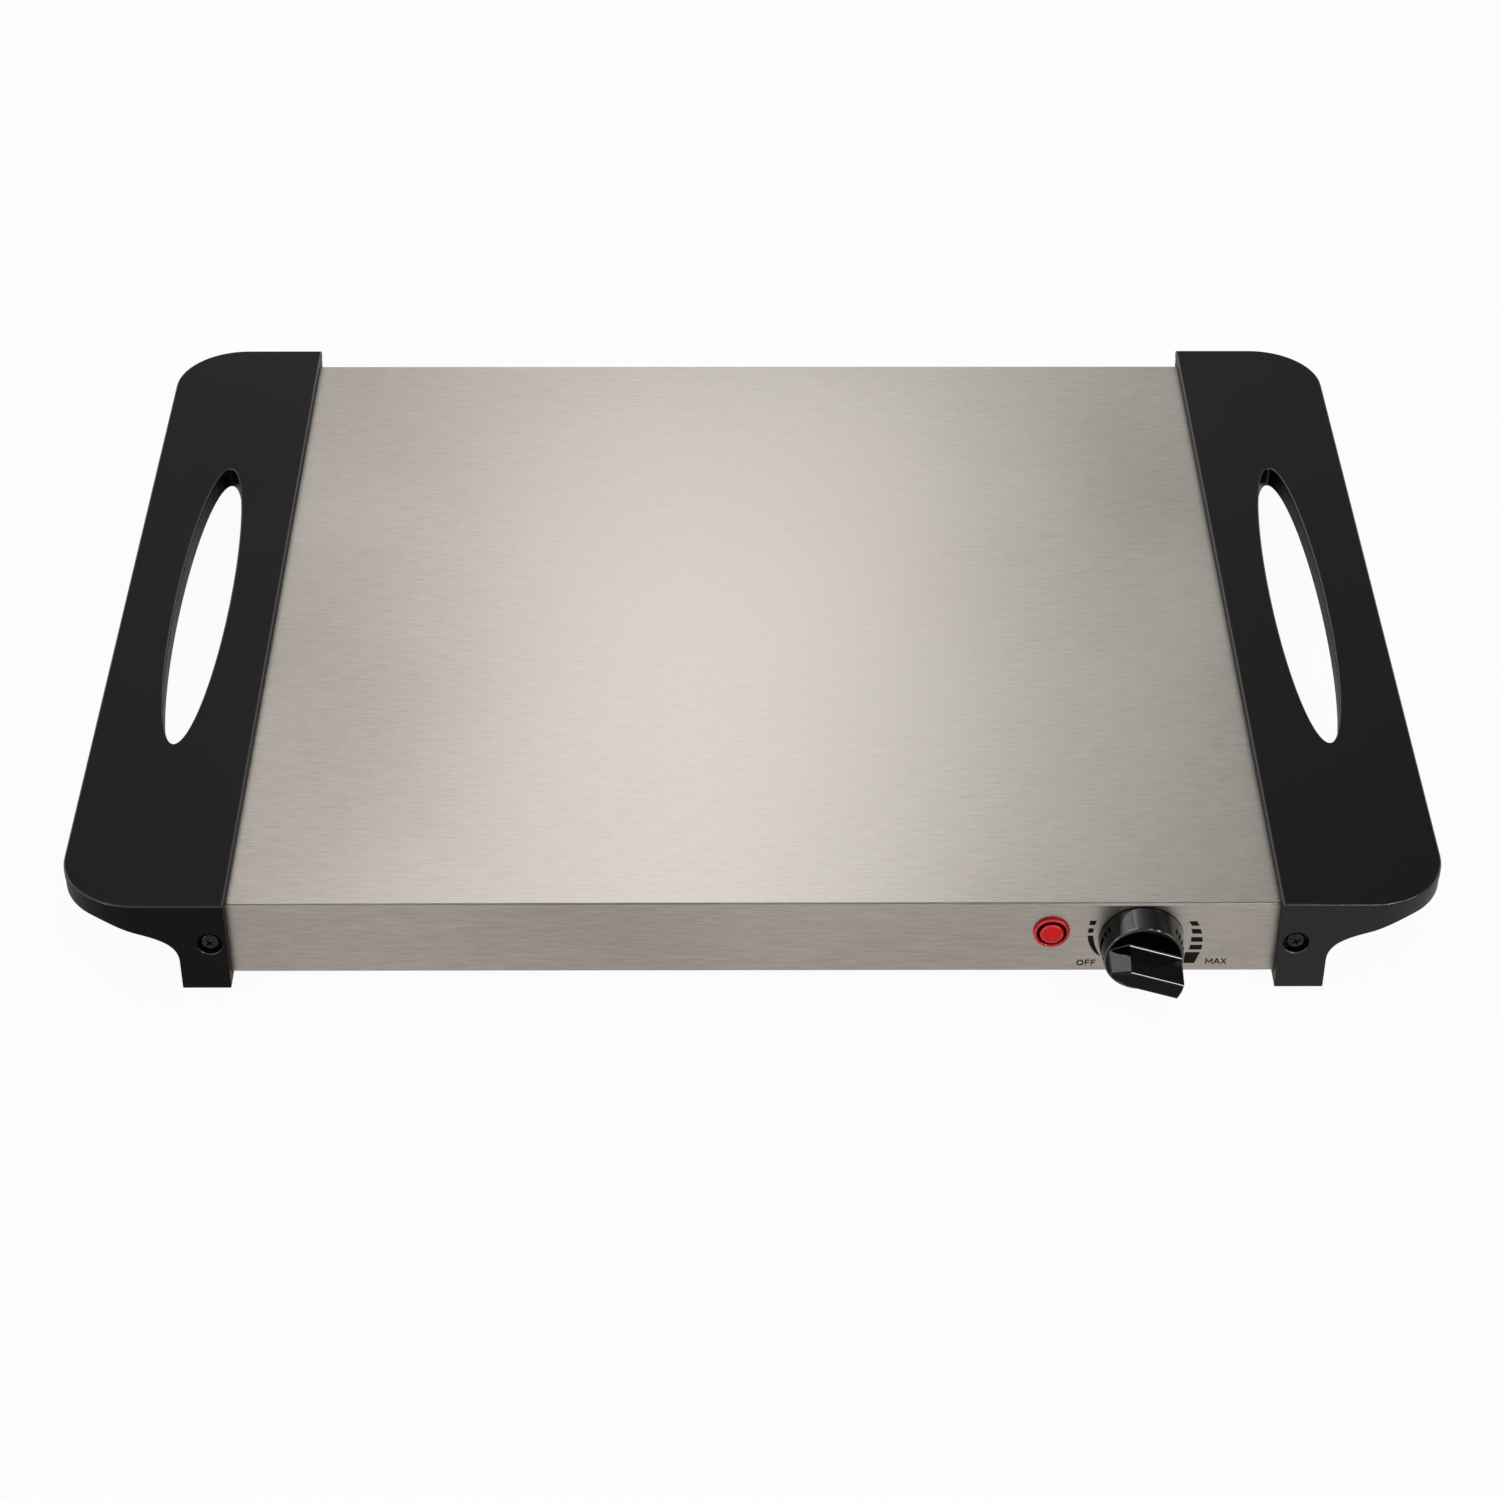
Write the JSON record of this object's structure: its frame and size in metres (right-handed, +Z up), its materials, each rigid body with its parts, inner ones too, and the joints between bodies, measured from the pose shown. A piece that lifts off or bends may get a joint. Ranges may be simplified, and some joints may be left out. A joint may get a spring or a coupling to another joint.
{
  "type": "electric warming tray",
  "caption": "Flat electric food warmer: folded brushed steel tray between moulded black end caps with finger openings, with a pilot lamp and a pointer knob on the front.",
  "frame": {"origin": "middle of the bounding box's floor, level with the soles of the feet", "axes": "+Z up, +X to the right seen from the control side, +Y from the control side to the back"},
  "size_m": [0.5178, 0.415, 0.0405],
  "materials": {
    "brushed_stainless": "brushed along the length",
    "satin_black_plastic": "satin, fine grain",
    "gloss_black_plastic": "gloss",
    "plated_steel": "zinc plated",
    "dark_plated_screw": "dark plated",
    "coated_base_steel": "coated",
    "bright_aluminium": "bright rolled",
    "element_sheath": "heat-browned",
    "white_ceramic": "unglazed",
    "mica_board": "pressed mica",
    "brass": "bare",
    "bimetal_strip": "rolled",
    "red_lens": "clear red",
    "neon_glass": "clear",
    "glass_fibre_sleeve": "woven sleeve",
    "live_insulation": "satin",
    "neutral_insulation": "satin",
    "black_rubber": "matt"
  },
  "bodies": {
    "root": {"bar_nut_1": "plated_steel", "bar_nut_2": "plated_steel", "bar_nut_3": "plated_steel", "bar_nut_4": "plated_steel", "base_plate": "coated_base_steel", "base_screw_1": "plated_steel", "base_screw_2": "plated_steel", "base_screw_3": "plated_steel", "base_screw_4": "plated_steel", "bimetal_blade": "bimetal_strip", "contact_blade": "brass", "cord_bush": "black_rubber", "earth_screw": "plated_steel", "earth_tag": "brass", "element_lead": "glass_fibre_sleeve", "element_pin_1": "plated_steel", "element_pin_2": "plated_steel", "element_seal_1": "white_ceramic", "element_seal_2": "white_ceramic", "end_cap_screw_1": "dark_plated_screw", "end_cap_screw_2": "dark_plated_screw", "end_cap_screw_3": "dark_plated_screw", "end_cap_screw_4": "dark_plated_screw", "fuse_lead": "live_insulation", "fuse_strap": "plated_steel", "heat_shield": "bright_aluminium", "heat_spreader": "bright_aluminium", "heating_element": "element_sheath", "insulation_board": "mica_board", "lamp_clip": "plated_steel", "lamp_live_lead": "glass_fibre_sleeve", "lamp_return_lead": "glass_fibre_sleeve", "left_clamp_bar": "plated_steel", "left_end_cap": "satin_black_plastic", "neon_bulb": "neon_glass", "pilot_lamp_lens": "red_lens", "return_lead": "neutral_insulation", "right_clamp_bar": "plated_steel", "right_end_cap": "satin_black_plastic", "shield_nut_1": "plated_steel", "shield_nut_2": "plated_steel", "shield_nut_3": "plated_steel", "shield_nut_4": "plated_steel", "stack_rivet": "plated_steel", "supply_lead": "live_insulation", "terminal_block": "white_ceramic", "terminal_screw_1": "brass", "terminal_screw_2": "brass", "terminal_screw_3": "brass", "terminal_screw_4": "brass", "thermal_fuse": "glass_fibre_sleeve", "thermostat_end_ring": "white_ceramic", "thermostat_frame": "plated_steel", "thermostat_nut": "brass", "thermostat_ring": "white_ceramic", "thermostat_spacer": "white_ceramic", "top_tray": "brushed_stainless"},
    "knob": {"control_knob": "gloss_black_plastic", "thermostat_spindle": "plated_steel", "knob_clip": "bimetal_strip"}
  },
  "joints": [
    {"name": "knob_turn", "type": "hinge", "parent": "root", "child": "knob", "pos_m": [0.1454, -0.1821, 0.0185], "axis": [0, 1, 0], "range_deg": [-44, 188]}
  ]
}
